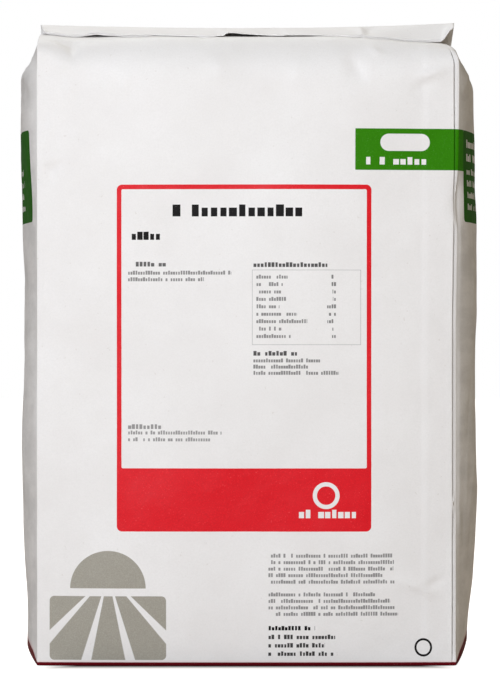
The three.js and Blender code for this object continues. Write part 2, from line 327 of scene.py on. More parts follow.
# The marks that stand out on the front. A facet has corners and a height, and a crease has its middle, angle,
# length, height and flanks.
SEEN_FACETS = (
    ([(-131, 417), (-112.6, 388), (-92, 417)], -2.5),
    ([(-134, 321), (-126, 306), (-117, 325)], -1.8),
)
SEEN_CREASES = (
    ((-111.5, 404), 93, 38, -2.8, 7.0, 0.9),
    ((-117, 385), 158, 13, 0.7, 1.2),
    ((72.0, 380.5), 112, 22, -1.7, 5, 1.1),
    ((81, 396), 139, 18, 1.8, 1.8),
    ((116.4, 379.5), 13, 30, 2.0, 1.8, 5),
    ((112, 372), 22, 24, -1.2, 1.6, 5),
    ((109, 50), 160, 42, 1.8, 2.0, 7),
    ((119, 53), 22, 26, -1.5, 1.8, 6),
    ((-115, 370), 100, 22, 1.1, 1.8),
    ((-80, 372), 92, 26, 1.1, 2.2),
    ((-127, 344), 86, 32, 0.9, 2.5),
    ((30, 381), 80, 32, 1.2, 3.5, 9),
    ((-20, 383), 95, 28, 1.1, 3.5, 9),
)
SEEN_DENT = ((67.5, 387), (6, 9), -1.6)

# A place where the right front crease is squashed round.
SOFT_CORNER = ((137, 299), (6, 14), -2.6)


def hump(x, at, reach, height, power=2):
    """A smooth rise along one direction."""
    return height * np.exp(-(((x - at) / reach) ** power))


def smooth_noise(u, v, cell, random):
    """Smooth noise from -1 to 1, which meets itself round the bag."""
    columns = max(3, round(GIRTH / cell))
    rows = math.ceil(560 / cell) + 3
    lattice = random.uniform(-1, 1, (rows, columns))
    x = u / GIRTH * columns
    y = np.clip((v + 80) / cell, 0, rows - 2.001)
    left, low = np.floor(x).astype(int), np.floor(y).astype(int)
    fx, fy = x - left, y - low
    fx, fy = (f * f * f * (f * (6 * f - 15) + 10) for f in (fx, fy))
    left, right = left % columns, (left + 1) % columns
    lower = lerp(lattice[low, left], lattice[low, right], fx)
    upper = lerp(lattice[low + 1, left], lattice[low + 1, right], fx)
    return lerp(lower, upper, fy)


def from_point(u, v, at):
    """The way from a point, the short way round the bag."""
    return np.remainder(u - at[0] + HALF_GIRTH, GIRTH) - HALF_GIRTH, v - at[1]


def crease(u, v, at, angle, length, height, flank, other_flank=None):
    """A fold mark: sharp along its line, and fading over one flank on each side of it."""
    du, dv = from_point(u, v, at)
    turn = math.radians(angle)
    along = du * math.cos(turn) + dv * math.sin(turn)
    across = dv * math.cos(turn) - du * math.sin(turn)
    reach = np.clip(1 - (2 * along / length) ** 2, 0, None) ** 2
    fade = np.where(across > 0, flank, other_flank or flank)
    return height * reach * np.exp(-(np.hypot(across, 0.6) - 0.6) / fade)


def facet(u, v, corners, height):
    """A flat-sided dent or bump in the shape of a triangle, highest in its middle."""
    middle = np.mean(corners, axis=0)
    share = np.full(np.shape(u), 1e9)
    for start, end in zip(corners, corners[1:] + corners[:1]):
        side = np.array(end, float) - start
        normal = np.array([-side[1], side[0]])
        depth = normal @ (middle - start)
        du, dv = from_point(u, v, start)
        share = np.minimum(share, (normal[0] * du + normal[1] * dv) / depth)
    return height * np.clip(share, 0, 1)


def blow(u, v, at, size, height):
    """A soft round bump or dent."""
    du, dv = from_point(u, v, at)
    return height * np.exp(-((du / size[0]) ** 2) - (dv / size[1]) ** 2)


def random_creases(u, v, random, count, v_range, length, height, flank, tilt, u_range=(0, GIRTH)):
    """Many small fold marks at random places."""
    relief = np.zeros_like(u)
    for _ in range(count):
        at = (random.uniform(*u_range), random.uniform(*v_range))
        angle = 90 + random.uniform(-tilt, tilt)
        sign = random.choice([-1, 1])
        sharp = random.uniform(*flank)
        long = random.uniform(*length)
        high = sign * random.uniform(*height)
        relief += crease(u, v, at, angle, long, high, sharp, random.uniform(1, 3) * sharp)
    return relief


def seen_marks(u, v):
    relief = blow(u, v, *SEEN_DENT)
    for numbers in SEEN_FACETS:
        relief += facet(u, v, *numbers)
    for numbers in SEEN_CREASES:
        relief += crease(u, v, *numbers)
    return relief


def shoulder_marks(u, v):
    """Folds where the side panels tuck in under the gable."""
    relief = np.zeros_like(u)
    for corner, way in ((FRONT_U, -1), (RIGHT_U, 1), (BACK_U, -1), (LEFT_U, 1)):
        upper = [(corner, 394), (corner + way * 66, 391), (corner + way * 66, 385), (corner + way * 2, 387)]
        lower = [(corner + way * 2, 388), (corner + way * 62, 384), (corner + way * 6, 366)]
        if way > 0:
            upper, lower = upper[::-1], lower[::-1]
        relief += facet(u, v, upper, -0.7) + facet(u, v, lower, 1.2)
        relief += crease(u, v, (corner + way * 36, 386.5), -4 * way, 70, 0.4, 1.6, 3)
        relief += crease(u, v, (corner + way * 40, 372), -24 * way, 60, -1.2, 2, 5)
    return relief


def ply_edge(v):
    """The distance of the outer ply's free edge from the right front crease."""
    return lerp(PLY_EDGE_LOW, PLY_EDGE_HIGH, smoothstep(v, *PLY_EDGE_Z))


def slide_columns(points, u, v):
    """Slides the front's last columns, so that one of them follows the outer ply's edge."""
    from_crease = HALF_WIDTH - u
    reach = CREASE_COLUMNS[-1]
    edge = ply_edge(v)
    below = from_crease * edge / PLY_COLUMN
    above = edge + (from_crease - PLY_COLUMN) * (reach - edge) / (reach - PLY_COLUMN)
    slid = np.where(from_crease < PLY_COLUMN, below, above)
    move = np.where((from_crease > 0) & (from_crease < reach), from_crease - slid, 0)
    points[..., 0] += move
    u += move


def lap_relief(u, v):
    """The outer ply's free edge, the groove beside it and the step over the flap's edge beneath."""
    edge = ply_edge(v)
    from_edge = u - (HALF_WIDTH - edge)
    on_front = (u < HALF_WIDTH) & (u > 0)
    flap = FLAP_STEP * smoothstep(u, FLAP_EDGE_X - 0.8, FLAP_EDGE_X + 0.8) * (from_edge < 0.02)
    open_share = (1 - 0.75 * smoothstep(v, *PLY_GROOVE_TOP_Z)) * (1 + 0.5 * smoothstep(v, 296, 310))
    for at, reach in PLY_CLOSED_AT:
        open_share = open_share * (1 - hump(v, at, reach, 1, 4))
    across = np.clip(from_edge / edge, 0, 1)
    on_band = from_edge >= 0.02
    groove = -PLY_GROOVE_DEPTH * open_share * np.exp(-np.abs(from_edge) / PLY_GROOVE_WIDTH) * on_band
    ply = FLAP_STEP * np.clip(1 - open_share, 0, None) * (1 - across) * on_band
    return np.where(on_front, flap + groove + ply, 0) * smoothstep(v, 1, 8)


def tilt_band(points, u, v):
    """Moves the right front crease back, so that the band beside the ply's edge turns to the right."""
    edge = ply_edge(v)
    across = (u - (HALF_WIDTH - edge)) / edge
    band = (0.25 + 0.75 * across) * (across >= 0) * (u < HALF_WIDTH)
    beside = hump(u, HALF_WIDTH, 4, 1) * (u >= HALF_WIDTH)
    points[..., 1] += BAND_TILT * (band + beside) * smoothstep(v, 1, 8) * (1 - smoothstep(v, 384, 396))


def paper_relief(u, v):
    """How far the paper stands out from the smooth bag, in millimetres."""
    random = np.random.default_rng(SEED)
    relief = sum(height * smooth_noise(u, v, size, random) for height, size in NOISE_LAYERS)
    for numbers in CREASE_SETS:
        relief += random_creases(u, v, random, *numbers)
    return relief + seen_marks(u, v) + shoulder_marks(u, v)


def crease_distance(u):
    """The distance on the paper to the nearest of the four vertical creases."""
    corners = np.array([FRONT_U, RIGHT_U, BACK_U, LEFT_U, FRONT_U + GIRTH])
    return np.abs(np.asarray(u)[..., None] - corners).min(axis=-1)


def normals_of(points):
    """Outward unit normals of a grid of points that is closed along its columns."""
    along = np.roll(points, -1, axis=1) - np.roll(points, 1, axis=1)
    up = np.gradient(points, axis=0)
    normal = np.cross(along, up)
    return normal / np.maximum(np.linalg.norm(normal, axis=-1, keepdims=True), 1e-9)


def lean_crease(points, u):
    """Moves the front's right crease in, with the paper beside it."""
    z = points[..., 2]
    lean = CREASE_INSET + CREASE_LEAN * (1 - smoothstep(z, *CREASE_LEAN_Z))
    lean = lean + CORNER_PULL * smoothstep(z, *CORNER_PULL_Z)
    front = np.clip((u + HALF_WIDTH) / PANEL_WIDTH, 0, 1) ** LEAN_REACH_FRONT * (u <= HALF_WIDTH)
    side = np.clip(1 - (u - HALF_WIDTH) / LEAN_REACH_SIDE, 0, 1) ** 2 * (u > HALF_WIDTH)
    points[..., 0] -= lean * (front + side)


def shift_ends(points, u):
    """Moves the left side out, and the gable's ends towards the ridge's own ends."""
    points[..., 0] -= LEFT_OUT * smoothstep(-points[..., 0], *LEFT_OUT_X)
    x, z = points[..., 0], points[..., 2]
    beside = np.mod(u + HALF_WIDTH, HALF_GIRTH) > PANEL_WIDTH
    reach = np.where(beside, 1, np.clip(np.abs(x) / HALF_WIDTH, 0, 1) ** LEAN_REACH_FRONT)
    left = -LEFT_END_SPREAD * smoothstep(z, *LEFT_SPREAD_Z)
    right = -RIGHT_END_PULL * smoothstep(z, *RIGHT_PULL_Z)
    points[..., 0] += reach * np.where(x < 0, left, right)


# The pasted flaps under the base: where their edges run, and how high each shows.
COVER_X, COVER_Y = (121, 122.5), (61, 62.5)
LONG_FLAP_Y = (17, 19)
TUCK_X = 62
COVER_STEP, LONG_FLAP_STEP, TUCK_STEP = 0.35, 0.16, 0.14


def base_relief(x, y):
    """A cover sheet on the floor, with the flaps' edges showing through."""
    beyond_cover = np.maximum(smoothstep(np.abs(x), *COVER_X), smoothstep(np.abs(y), *COVER_Y))
    long_flap = smoothstep(y - 0.02 * x, *LONG_FLAP_Y)
    tuck = smoothstep(np.abs(x) - (TUCK_X + np.abs(y)), -1, 1)
    return COVER_STEP * beyond_cover + LONG_FLAP_STEP * long_flap + TUCK_STEP * tuck * (1 - long_flap)


# Meshes

def add_object(name, data):
    made = bpy.data.objects.new(name, data)
    bpy.context.scene.collection.objects.link(made)
    return made


def make_piece(name, points, faces, loop_uv, from_base, material):
    """A piece of the bag, with its places on the paper and its lengths from the bottom edge."""
    mesh = bpy.data.meshes.new(name)
    mesh.from_pydata(np.asarray(points) * MM, [], np.asarray(faces).tolist())
    layer = mesh.uv_layers.new(name="paper")
    layer.data.foreach_set("uv", (np.asarray(loop_uv, np.float32) * MM).ravel())
    lengths = mesh.attributes.new("from_base", "FLOAT", "POINT")
    lengths.data.foreach_set("value", (np.ravel(from_base) * MM).astype(np.float32))
    mesh.materials.append(material)
    mesh.shade_smooth()
    piece = add_object(name, mesh)
    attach(piece, BODY)
    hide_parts(NODE)
    return piece


def grid_faces(rows, columns, closed):
    """Quads of a grid of points, closed along its columns or open."""
    last = columns if closed else columns - 1
    r, c = np.meshgrid(np.arange(rows - 1), np.arange(last), indexing="ij")
    low = (r * columns + c).ravel()
    low_after = (r * columns + (c + 1) % columns).ravel()
    return np.stack([low, low_after, low_after + columns, low + columns], axis=1)


def bag_grid():
    """The skin above the floor: rows of points, lengths from the bottom edge, u and v."""
    parts = [panel.grid() for panel in PANELS]
    points, from_base, v = (np.concatenate(part, axis=1) for part in zip(*parts))
    u = np.concatenate([panel.u() for panel in PANELS])[None, :] + 0 * v
    slide_columns(points, u, v)
    shift_ends(points, u)
    lean_crease(points, u)
    tilt_band(points, u, v)
    near_crease = lerp(0.25, 1, smoothstep(crease_distance(u), 0, 5))
    calm = smoothstep(from_base, 0, 9) * (1 - 0.8 * smoothstep(v, 445, 462)) * near_crease
    relief = paper_relief(u, v) * calm + lap_relief(u, v) + blow(u, v, *SOFT_CORNER)
    points = points + normals_of(points) * relief[..., None]
    press_slope(points)
    return points, from_base, u, v


def base_grid(contact, from_base, u, v):
    """The flat of the base, from a spine along its middle out to the contact edge."""
    share = (np.arange(BASE_ROWS) / BASE_ROWS)[:, None]
    spine = np.stack([np.clip(contact[:, 0], -60, 60), 0 * contact[:, 1]], axis=-1)
    flat = lerp(spine, contact[:, :2], share[..., None])
    z = base_relief(flat[..., 0], flat[..., 1]) * (1 - share**6)
    points = np.concatenate([flat, z[..., None]], axis=-1)
    down = np.linalg.norm(contact[:, :2] - spine, axis=-1) * (share - 1)
    return points, from_base + down, u + 0 * down, v + down


def bag_skin(material):
    points, from_base, u, v = bag_grid()
    base = base_grid(points[0], from_base[0], u[0], v[0])
    points, from_base, u, v = (np.concatenate(pair) for pair in zip(base, (points, from_base, u, v)))
    points[..., 2] = np.maximum(points[..., 2], 0)
    rows, columns = u.shape
    faces = grid_faces(rows, columns, closed=True)
    corner_u = u.ravel()[faces]
    corner_u = np.where(corner_u < corner_u[:, :1] - HALF_GIRTH, corner_u + GIRTH, corner_u)
    first = corner_u[:, 0]
    corner_u = np.where((first >= BACK_U)[:, None], corner_u - HALF_GIRTH, corner_u)
    loop_uv = np.stack([corner_u, v.ravel()[faces]], axis=-1).reshape(-1, 2)
    piece = make_piece("bag_skin", points.reshape(-1, 3), faces, loop_uv, from_base, material)
    close_ends(piece.data, columns)


def close_ends(mesh, columns):
    """Joins the base's two halves along its spine, and closes the gap under the folded mouth."""
    bm = bmesh.new()
    bm.from_mesh(mesh)
    bm.verts.ensure_lookup_table()
    spine = bm.verts[:columns]
    top = bm.verts[-columns:]
    rim = [edge for vert in top for edge in vert.link_edges if edge.is_boundary]
    bmesh.ops.contextual_create(bm, geom=list(set(rim)))
    bmesh.ops.remove_doubles(bm, verts=spine, dist=0.02 * MM)
    bm.normal_update()
    bm.to_mesh(mesh)
    bm.free()


# The folded mouth

# The strip's width, the height of its fold over the ridge, and its lean in degrees: it leans further down
# towards the right, and its right corner curls up.
STRIP_WIDTH = 26
STRIP_RISE = 5
STRIP_END_RISES = (2, 3.2)
STRIP_RISE_POWER = 2.2
STRIP_ANGLE = 16
STRIP_STEEP_ANGLE = 32
STRIP_CURL_ANGLE = 20
STRIP_STEEP_FROM = (0.4, 1.05)
STRIP_CURL_FROM = (0.94, 1)

# The four sheets: their thickness, the distance between two, the inner fold's radius, and how far out the
# gusset's two sheets start. SIGHT_SLOPE is how steeply the paper below drops away past the strip.
SHEET = 0.3
LAYER_PITCH = 0.43
FOLD_RADIUS = 0.35
GUSSET_REACH = 66
STRIP_COLUMNS = 180
STRIP_ROWS = 16
ARC_ROWS = 7
ROOT_ROWS = 3
SIGHT_SLOPE = 0.1

# The mouth's paper lies past the print, at these places in its coordinates.
MOUTH_V = 600
MOUTH_FROM_BASE = 500

# The mouth's walls from the inside out: name, how much longer than STRIP_WIDTH, and how deep its root is.
MOUTH_WALLS = (
    ("mouth_front_wall", -0.9, 3.0),
    ("mouth_gusset_inner", -0.3, 3.0),
    ("mouth_gusset_outer", -0.6, 3.0),
    ("mouth_back_wall", 0.0, 6.0),
)

# Along the strip: the place, reach and height of the jut of the free edge, a pinch and a dent.
STRIP_JUT = (-27.5, 5, 3.4)
STRIP_PINCH = (-101.3, 4, 0.6)
STRIP_DENT = (-114, 9, -1.2)

# Fold marks across the strip: their place along it, angle, height and flank.
STRIP_MARKS = (
    (-110, 60, 0.2, 2.2), (-88, 115, -0.2, 2.2), (-62, 100, 0.2, 2.2), (-16, 66, 0.9, 1.4),
    (24.8, 86, 0.7, 1.6), (73.8, 84, 1.7, 1.4), (79, 100, -0.9, 3),
)
STRIP_CREASES = (26, (0, 26), (12, 40), (0.06, 0.28), (1.2, 3), 50, (-135, 135))

# Where the mouth's walls end, left and right, at these lengths from the fold along the paper.
WALL_LENGTHS = (-8, 0, 28)
LEFT_ENDS = (-137.4, -137.6, -134.0)
RIGHT_ENDS = (132.8, 135.4, 133.4)


def strip_frame(x):
    """At the share x of the half width: the strip's angle, its layers' spread and the height of its fold."""
    leaning = lerp(STRIP_ANGLE, STRIP_STEEP_ANGLE, smoothstep(x, *STRIP_STEEP_FROM))
    angle = np.radians(leaning - STRIP_CURL_ANGLE * smoothstep(x, *STRIP_CURL_FROM))
    rise = np.where(x < 0, *STRIP_END_RISES) * np.abs(x) ** STRIP_RISE_POWER
    spread = lerp(0.34, 1, smoothstep(np.abs(x) * HALF_WIDTH, GUSSET_REACH - 3, GUSSET_REACH + 3))
    outer = FOLD_RADIUS + 3 * LAYER_PITCH * spread
    centre_z = SEAM_Z + STRIP_RISE + rise - outer - SHEET / 2
    return angle, spread, -outer / 2 - 0.4, centre_z


def strip_width(x_mm):
    """The length from the fold to the free edge of the innermost wall."""
    return STRIP_WIDTH + hump(x_mm, *STRIP_JUT, 4)


def strip_lift(x_mm, d):
    """How far the strip stands off its straight section, at the length d from the fold."""
    share = np.clip(d / STRIP_WIDTH, 0, 1.2)
    wedge = np.clip((x_mm + 16.4) / 2, 0, 1) * np.clip((21 - x_mm) / 36, 0, 1)
    pinch, dent = hump(x_mm, *STRIP_PINCH), hump(x_mm, *STRIP_DENT)
    left_end = smoothstep(-x_mm, 131, 136)
    return (1.8 * wedge + pinch + dent + 1.4 * left_end) * share**2 + strip_waves(x_mm, d)


def strip_waves(x, d):
    """Slow waves and small fold marks that all the mouth's walls share."""
    random = np.random.default_rng(SEED + 9)
    waves = 0.22 * np.sin(x / 17 + 0.6) + 0.16 * np.sin(x / 7.3 + d / 9)
    for at, angle, height, flank in STRIP_MARKS:
        waves += crease(x, d, (at, 13), angle, 44, height, flank, 2 * flank)
    waves += random_creases(x, d, random, *STRIP_CREASES)
    return waves * smoothstep(d, -2, 6)


def press_slope(points):
    """Presses the gable's front slope down, so that the strip rests on it."""
    x, y, z = points[..., 0], points[..., 1], points[..., 2]
    angle, _, centre_y, centre_z = strip_frame(np.clip(x / HALF_WIDTH, -1, 1))
    d = (centre_y - FOLD_RADIUS * np.sin(angle) - y) / np.cos(angle)
    width = strip_width(x)
    beyond = np.clip(d - width, 0, None)
    d = np.minimum(d, width)
    underside = centre_z + FOLD_RADIUS * np.cos(angle) - d * np.sin(angle) + strip_lift(x, d) - SHEET / 2
    limit = underside - 0.08 - SIGHT_SLOPE * beyond
    over = z - limit
    pressed = np.where(over > 0.4, limit, z - np.clip(over + 0.4, 0, None) ** 2 / 1.6)
    under_strip = (d > 1) & (y > -62) & (z > 380) & (over > -0.4)
    points[..., 2] = np.where(under_strip, pressed, z)


def mouth_sheet(name, layer, width_change, root_drop, material):
    """One wall of the mouth, folded forward over the ridge. Layers count from the inside of the fold."""
    random = np.random.default_rng(SEED + layer)
    x = np.linspace(-1, 1, STRIP_COLUMNS + 1)
    x_mm = x * HALF_WIDTH
    angle, spread, centre_y, centre_z = strip_frame(x)
    radius = FOLD_RADIUS + layer * LAYER_PITCH * spread
    root_z = ridge_z(x) - root_drop
    rows = []
    for share in np.arange(ROOT_ROWS) / ROOT_ROWS:
        rows.append((centre_y + radius, lerp(root_z, centre_z, share), WALL_LENGTHS[0] * (1 - share) + 0 * x))
    for share in np.linspace(0, 1, ARC_ROWS)[:-1]:
        around = share * (math.pi / 2 + angle)
        rows.append((centre_y + radius * np.cos(around), centre_z + radius * np.sin(around), 0 * x))
    innermost = strip_width(x_mm) if layer == 0 else STRIP_WIDTH
    ragged = innermost + width_change + 0.25 * np.sin(x_mm / 9 + layer) + random.uniform(-0.12, 0.12, x.shape)
    for share in np.linspace(0, 1, STRIP_ROWS):
        d = share * ragged
        sheet_y = centre_y - radius * np.sin(angle) - d * np.cos(angle)
        sheet_z = centre_z + radius * np.cos(angle) - d * np.sin(angle) + strip_lift(x_mm, d)
        rows.append((sheet_y, sheet_z, d))
    y, z, v = np.moveaxis(np.array(rows), 1, 0)
    left, right = np.interp(v, WALL_LENGTHS, LEFT_ENDS), np.interp(v, WALL_LENGTHS, RIGHT_ENDS)
    inset = 0.3 * (3 - layer)
    across = lerp(left + inset, right - inset, (x + 1) / 2)
    closed_sheet(name, np.stack([across, y, z], axis=-1), v + MOUTH_V, material)


def closed_sheet(name, middle, v, material):
    """A thin closed sheet round a grid of points."""
    rows, columns = middle.shape[:2]
    along, up = np.gradient(middle, axis=1), np.gradient(middle, axis=0)
    normal = np.cross(along, up)
    normal /= np.linalg.norm(normal, axis=-1, keepdims=True)
    outer, inner = middle + normal * SHEET / 2, middle - normal * SHEET / 2
    points = np.concatenate([outer.reshape(-1, 3), inner.reshape(-1, 3)])
    count = rows * columns
    faces = grid_faces(rows, columns, closed=False)
    ring = np.concatenate([
        np.arange(columns - 1),
        np.arange(rows - 1) * columns + columns - 1,
        (rows - 1) * columns + np.arange(columns - 1, 0, -1),
        np.arange(rows - 1, 0, -1) * columns,
    ])
    after = np.roll(ring, -1)
    rim = np.stack([after, ring, ring + count, after + count], axis=1)
    faces = np.concatenate([faces, faces[:, ::-1] + count, rim])
    flat = np.stack([middle[..., 0], v], axis=-1).reshape(-1, 2)
    loop_uv = np.concatenate([flat, flat])[faces].reshape(-1, 2)
    piece = make_piece(name, points, faces, loop_uv, np.full(2 * count, MOUTH_FROM_BASE), material)
    smooth = np.ones(len(faces), bool)
    smooth[-len(rim):] = False
    piece.data.polygons.foreach_set("use_smooth", smooth)


# Nodes

class Graph:
    """Short calls that add nodes to one node tree."""

    def __init__(self, tree):
        self.tree = tree

    def node(self, kind, **settings):
        made = self.tree.nodes.new("ShaderNode" + kind)
        for name, value in settings.items():
            setattr(made, name, value)
        return made

    def feed(self, socket, value):
        if isinstance(value, bpy.types.NodeSocket):
            self.tree.links.new(value, socket)
        else:
            socket.default_value = value

    def join(self, made, *values):
        """Feeds a node's inputs in their order, and gives its first output."""
        for socket, value in zip(made.inputs, values):
            self.feed(socket, value)
        return made.outputs[0]

    def fill(self, made, **values):
        """Feeds a node's inputs by their names, and gives its first output."""
        for name, value in values.items():
            self.feed(made.inputs[name.capitalize()], value)
        return made.outputs[0]

    def math(self, operation, *values, clamp=False):
        return self.join(self.node("Math", operation=operation, use_clamp=clamp), *values)

    def times(self, first, second):
        return self.math("MULTIPLY", first, second)

    def minus(self, first, second):
        return self.math("SUBTRACT", first, second)

    def apart(self, first, second):
        return self.math("ABSOLUTE", self.minus(first, second))

    def between(self, value, low, high):
        return self.times(self.math("GREATER_THAN", value, low), self.math("LESS_THAN", value, high))

    def chain(self, operation, values):
        total = values[0]
        for value in values[1:]:
            total = self.math(operation, total, value)
        return total

    def split(self, vector):
        made = self.node("SeparateXYZ")
        self.feed(made.inputs[0], vector)
        return made.outputs

    def point(self, x, y, z=0.0):
        return self.join(self.node("CombineXYZ"), x, y, z)

    def noise(self, vector, scale, detail, roughness):
        made = self.node("TexNoise")
        return self.fill(made, vector=vector, scale=scale, detail=detail, roughness=roughness)

    def span(self, value, low, high, to_low=0.0, to_high=1.0):
        return self.join(self.node("MapRange", clamp=True), value, low, high, to_low, to_high)

    def mix(self, share, start, end):
        made = self.node("Mix", data_type="RGBA", clamp_factor=True)
        colours = [socket for socket in made.inputs if socket.type == "RGBA"]
        for socket, value in zip([made.inputs["Factor"]] + colours, (share, start, end)):
            self.feed(socket, value)
        return next(socket for socket in made.outputs if socket.type == "RGBA")

    def call(self, group, *values):
        return self.join(self.node("Group", node_tree=group), *values)


def fresh_graph(owner):
    owner.use_nodes = True
    owner.node_tree.nodes.clear()
    return Graph(owner.node_tree)


def new_group(name, inputs):
    """A node group with number inputs and one Mask output, its Graph and its input sockets."""
    group = bpy.data.node_groups.new(name, "ShaderNodeTree")
    for label in inputs:
        group.interface.new_socket(label, in_out="INPUT", socket_type="NodeSocketFloat")
    group.interface.new_socket("Mask", in_out="OUTPUT", socket_type="NodeSocketFloat")
    graph = Graph(group)
    entry = group.nodes.new("NodeGroupInput")
    return group, graph, [entry.outputs[label] for label in inputs]


def finish_group(graph, mask):
    graph.feed(graph.tree.nodes.new("NodeGroupOutput").inputs["Mask"], mask)


def rounded_box_group():
    """1 inside a box with rounded corners, on the unrolled paper in millimetres."""
    group, g, sockets = new_group("rounded box", ("U", "V", "Left", "Right", "Bottom", "Top", "Radius"))
    u, v, left, right, bottom, top, radius = sockets

    def beyond(value, low, high):
        middle = g.times(g.math("ADD", low, high), 0.5)
        half = g.times(g.minus(high, low), 0.5)
        distance = g.apart(value, middle)
        return g.math("ADD", g.minus(distance, half), radius)

    x, y = beyond(u, left, right), beyond(v, bottom, top)
    outside_x, outside_y = g.math("MAXIMUM", x, 0.0), g.math("MAXIMUM", y, 0.0)
    square_x, square_y = g.times(outside_x, outside_x), g.times(outside_y, outside_y)
    outside = g.math("SQRT", g.math("ADD", square_x, square_y))
    inside = g.math("MINIMUM", g.math("MAXIMUM", x, y), 0.0)
    distance = g.minus(g.math("ADD", outside, inside), radius)
    finish_group(g, g.span(distance, -0.1, 0.1, 1.0, 0.0))
    return group


def type_rows_group():
    """Rows of plain blocks in place of words: no letters, only their usual sizes and gaps."""
    names = ("U", "V", "Left", "Top", "Rows", "Pitch", "Height", "Block", "Length", "Rag", "Seed")
    group, g, sockets = new_group("type rows", names)
    u, v, left, top, rows, pitch, height, block, length, rag, seed = sockets
    down = g.minus(top, v)
    row = g.math("FLOOR", g.math("DIVIDE", down, pitch))
    in_row = g.math("DIVIDE", g.minus(down, g.times(row, pitch)), height)
    known = g.between(row, -0.5, g.minus(rows, 0.5))
    row_draw = g.node("TexWhiteNoise", noise_dimensions="3D")
    g.feed(row_draw.inputs["Vector"], g.point(row, seed, 3.5))
    shortened = g.times(rag, row_draw.outputs["Value"])
    used = g.times(length, g.minus(1.0, shortened))
    across = g.minus(u, left)
    within = g.between(across, 0.0, used)
    cells = g.math("DIVIDE", across, block)
    cell = g.math("FLOOR", cells)
    draw = g.node("TexWhiteNoise", noise_dimensions="3D")
    g.feed(draw.inputs["Vector"], g.point(cell, row, seed))
    parts = g.node("SeparateColor")
    g.feed(parts.inputs[0], draw.outputs["Color"])
    gap = g.math("GREATER_THAN", parts.outputs[0], 0.15)
    in_cell = g.minus(cells, cell)
    off_centre = g.times(g.apart(in_cell, 0.5), 2.0)
    wide = g.math("LESS_THAN", off_centre, g.span(parts.outputs[1], 0.0, 1.0, 0.6, 0.9))
    low_top = g.times(g.math("LESS_THAN", parts.outputs[2], 0.62), 0.26)
    tall = g.between(in_row, low_top, 1.0)
    finish_group(g, g.chain("MULTIPLY", [known, within, gap, wide, tall]))
    return group


# The print, in millimetres on the unrolled paper: u from the middle of the panel, v up from the floor. A box
# is left, right, bottom and top, a ring has two radii, and the field's last number is where its furrows meet.
# The base's ink reaches BASE_INK_SIDE_SHARE times as high on the sides.
RED_FRAME = (-84.5, 78.4, 86.4, 307.9)
RED_LINE = 3.0
RED_BAND_TOP = 126.8
BAND_RING = (49.3, 109.4, 8.6, 5.9)
RIBBON = (67.9, 146, 317.3, 343.8)
SIDE_BOX = (145, 263, 284.7, 343.8)
RIBBON_LABEL = (84, 116, 329.5, 340.5)
TABLE_BOX = (1.9, 71.7, 205.5, 253.5)
SMALL_RING = (112.8, 12.0, 5.9, 4.5)
SUN = (-90, 50, 24)
FIELD = (-127, -53, 4, 45, 59)
FURROW_DEGREES = 28.5
BASE_INK_HEIGHT = 2.1
BASE_INK_SIDE_SHARE = 2.6

# Rows of blocks: left, top, rows, pitch, height, block, length, rag, and how dark the ink reads.
DARK_ROWS = (
    (-49.3, 295.1, 1, 20, 7.6, 6.0, 84.5, 0.0, 1.0),
    (-75.5, 277.8, 1, 20, 5.2, 3.9, 18.6, 0.0, 1.0),
    (-77.5, 258.6, 1, 20, 3.0, 2.45, 24.4, 0.0, 0.85),
    (-77.5, 252.9, 2, 4.2, 2.5, 1.6, 71.0, 0.5, 0.7),
    (2.6, 258.2, 1, 20, 3.0, 2.3, 47.4, 0.0, 0.9),
    (4.5, 250.3, 9, 4.73, 2.5, 1.6, 38.0, 0.65, 0.7),
    (2.6, 201.7, 1, 20, 3.0, 2.4, 28.0, 0.0, 0.9),
    (2.6, 196.9, 3, 3.95, 2.5, 1.6, 58.0, 0.6, 0.7),
    (-77.5, 154.9, 1, 20, 3.0, 2.4, 22.0, 0.0, 0.65),
    (-77.5, 150.9, 2, 4.35, 2.5, 1.6, 75.0, 0.35, 0.62),
    (12.2, 72.3, 5, 4.16, 2.5, 1.6, 88.0, 0.16, 0.68),
    (12.2, 47.5, 4, 4.16, 2.5, 1.6, 86.0, 0.2, 0.68),
    (12.2, 26.0, 1, 20, 2.8, 2.1, 30.0, 0.0, 1.0),
    (12.2, 20.4, 3, 5.4, 2.9, 2.0, 48.0, 0.35, 0.95),
)
RIGHT_ALIGNED_ROW = (55.7, 250.3, 9, 4.73, 2.5, 1.6, 6.4, 0.7, 0.75)
PALE_ROWS = (
    (31.4, 100.4, 1, 20, 5.4, 4.2, 38.0, 0.0, 1.0),
    (74.0, 325.6, 1, 20, 4.8, 4.5, 43.0, 0.0, 1.0),
    (152.0, 338.2, 1, 20, 5.2, 4.6, 44.0, 0.0, 1.0),
    (152.0, 329.0, 1, 20, 4.8, 4.4, 58.0, 0.0, 1.0),
    (152.0, 319.6, 4, 7.6, 4.0, 3.1, 100.0, 0.3, 0.85),
)

RED = (0.66, 0.0005, 0.008, 1)
# The base's red ink painted darker, as painted shade where the bottom edge curls under the bag.
BASE_RED_IN_SHADE = (0.13, 0.004, 0.008, 1)
GREEN = (0.030, 0.195, 0.002, 1)
# The ribbon's green painted darker, as painted shade on the right side panel where the side box is printed.
SIDE_GREEN_IN_SHADE = (0.014, 0.105, 0.002, 1)
BLACK = (0.012, 0.011, 0.011, 1)
GREY = (0.45, 0.44, 0.43, 1)
OLIVE = (0.33, 0.31, 0.26, 1)

# The paper's own colours: its cloudy ground, its fibres and specks; and blotchy darkening on its sides,
# partly stains and partly painted shade of the crumpled paper.
PAPER_DIM, PAPER_BRIGHT = (0.815, 0.793, 0.770, 1), (0.862, 0.846, 0.826, 1)
FIBRE = (0.74, 0.72, 0.69, 1)
SPECK = (0.55, 0.50, 0.44, 1)
SIDE_STAIN_AND_SHADE = (0.50, 0.49, 0.47, 1)
SIDE_STAIN_AND_SHADE_SHARE = 0.34


